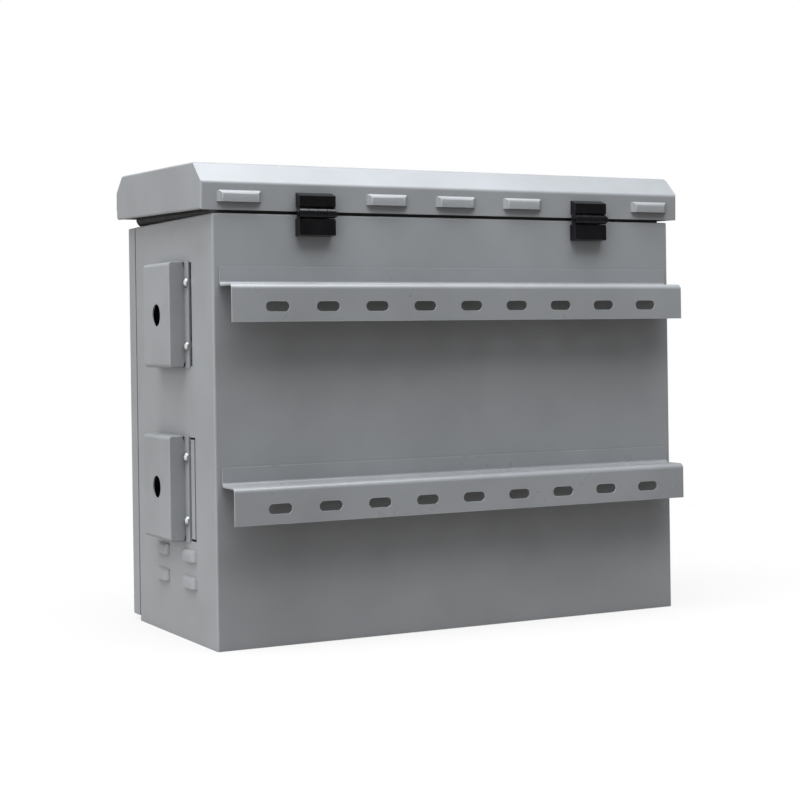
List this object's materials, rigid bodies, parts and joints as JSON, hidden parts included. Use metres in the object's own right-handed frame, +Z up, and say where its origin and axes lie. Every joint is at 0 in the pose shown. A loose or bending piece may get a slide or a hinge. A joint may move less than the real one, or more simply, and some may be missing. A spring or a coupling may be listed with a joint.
{
  "type": "battery box",
  "caption": "Outdoor sheet-steel battery box with a hinged vented lid, a front door, slotted rear mounting rails and cable hoods on one side.",
  "frame": {"origin": "middle of the case's underside", "axes": "+Z up, +Y out of the back panel with the mounting rails, +X towards the side with the cable hoods"},
  "size_m": [0.635, 0.3238, 0.5358],
  "materials": {
    "case_grey": "satin powder coat",
    "rail_grey": "satin powder coat",
    "hinge_black": "matte black",
    "seal_black": "matte",
    "zinc": "zinc plated",
    "plate": "galvanised",
    "lock_black": "satin black"
  },
  "bodies": {
    "enclosure": {"body_shell": "case_grey", "base_pan": "case_grey", "front_frame": "case_grey", "top_frame": "case_grey", "upper_rail": "rail_grey", "lower_rail": "rail_grey", "upper_cable_hood": "case_grey", "lower_cable_hood": "case_grey", "upper_hood_screws": "zinc", "lower_hood_screws": "zinc", "hood_rivet_nuts": "zinc", "upper_slot_cover": "case_grey", "lower_slot_cover": "case_grey", "right_lid_hinge_base": "hinge_black", "left_lid_hinge_base": "hinge_black", "right_lid_hinge_pin": "hinge_black", "left_lid_hinge_pin": "hinge_black", "lid_hinge_base_nuts": "zinc", "upper_door_hinge_base": "hinge_black", "lower_door_hinge_base": "hinge_black", "upper_door_hinge_pin": "hinge_black", "lower_door_hinge_pin": "hinge_black", "door_hinge_base_nuts": "zinc", "right_bolt_guide": "zinc", "left_bolt_guide": "zinc", "equipment_plate": "plate", "plate_studs": "zinc", "plate_nuts": "zinc", "battery_tray": "case_grey", "tray_runners": "case_grey", "tray_pads": "seal_black", "earth_stud": "zinc", "earth_nut": "zinc"},
    "lid": {"lid_shell": "case_grey", "lid_liner": "case_grey", "lid_seal": "seal_black", "vent_screen": "plate", "right_lid_hinge_leaf": "hinge_black", "left_lid_hinge_leaf": "hinge_black", "lid_hinge_leaf_nuts": "zinc", "right_keeper": "zinc", "left_keeper": "zinc"},
    "right_bolt": {"right_lid_bolt": "zinc"},
    "left_bolt": {"left_lid_bolt": "zinc"},
    "door": {"door_panel": "case_grey", "door_seal": "seal_black", "door_stiffener": "case_grey", "upper_door_hinge_leaf": "hinge_black", "lower_door_hinge_leaf": "hinge_black", "door_hinge_leaf_nuts": "zinc", "upper_lock_body": "lock_black", "lower_lock_body": "lock_black", "lock_nuts": "zinc"},
    "upper_lock": {"upper_lock_rotor": "zinc", "upper_lock_cam": "zinc"},
    "lower_lock": {"lower_lock_rotor": "zinc", "lower_lock_cam": "zinc"}
  },
  "joints": [
    {"name": "lid_hinge", "type": "hinge", "parent": "enclosure", "child": "lid", "pos_m": [0, 0.1485, 0.475], "axis": [-1, 0, 0], "range_deg": [0, 105]},
    {"name": "door_hinge", "type": "hinge", "parent": "enclosure", "child": "door", "pos_m": [-0.3095, -0.1135, 0.24], "axis": [0, 0, -1], "range_deg": [0, 120]},
    {"name": "right_bolt_slide", "type": "slide", "parent": "enclosure", "child": "right_bolt", "axis": [1, 0, 0], "range_m": [0, 0.02]},
    {"name": "left_bolt_slide", "type": "slide", "parent": "enclosure", "child": "left_bolt", "axis": [-1, 0, 0], "range_m": [0, 0.02]},
    {"name": "upper_lock_turn", "type": "hinge", "parent": "door", "child": "upper_lock", "pos_m": [0.244, -0.139, 0.35], "axis": [0, -1, 0], "range_deg": [0, 90]},
    {"name": "lower_lock_turn", "type": "hinge", "parent": "door", "child": "lower_lock", "pos_m": [0.244, -0.139, 0.13], "axis": [0, -1, 0], "range_deg": [0, 90]}
  ]
}
